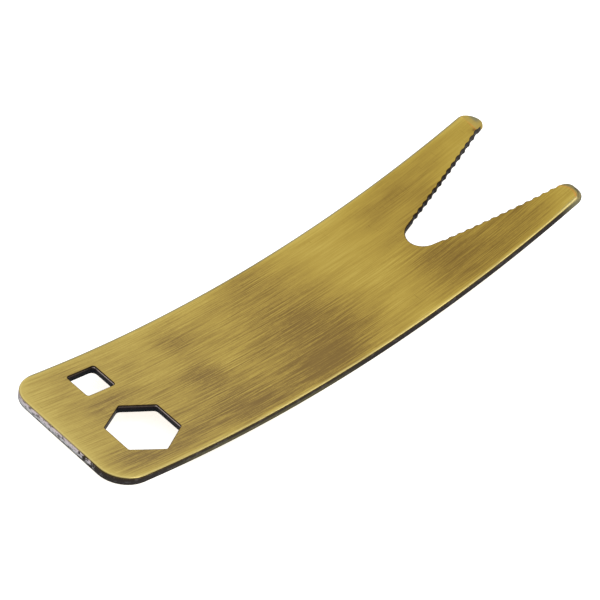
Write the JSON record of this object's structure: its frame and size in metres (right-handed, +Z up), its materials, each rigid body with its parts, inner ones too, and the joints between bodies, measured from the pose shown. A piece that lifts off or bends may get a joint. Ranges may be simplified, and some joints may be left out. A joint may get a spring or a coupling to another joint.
{
  "type": "bowed flat spanner",
  "caption": "Bowed sheet-steel pocket spanner with hexagonal and square socket holes at one end and a toothed V-notch with bevelled tips at the other.",
  "frame": {"origin": "lowest point of the bowed underside, halfway along the strip and on its centre line, where it rests on a table", "axes": "+X along the strip from the socket end to the forked end, +Y across it towards the square socket's side, +Z up out of the hollow side"},
  "size_m": [0.105, 0.03, 0.0081],
  "materials": {
    "plated_strip": "antique-brass plating, brushed lengthwise on both faces, left dark on the sheared walls, worn at the eased edges and ground paler on the tips"
  },
  "bodies": {
    "root": {"spanner_plate": "plated_strip"}
  },
  "joints": []
}
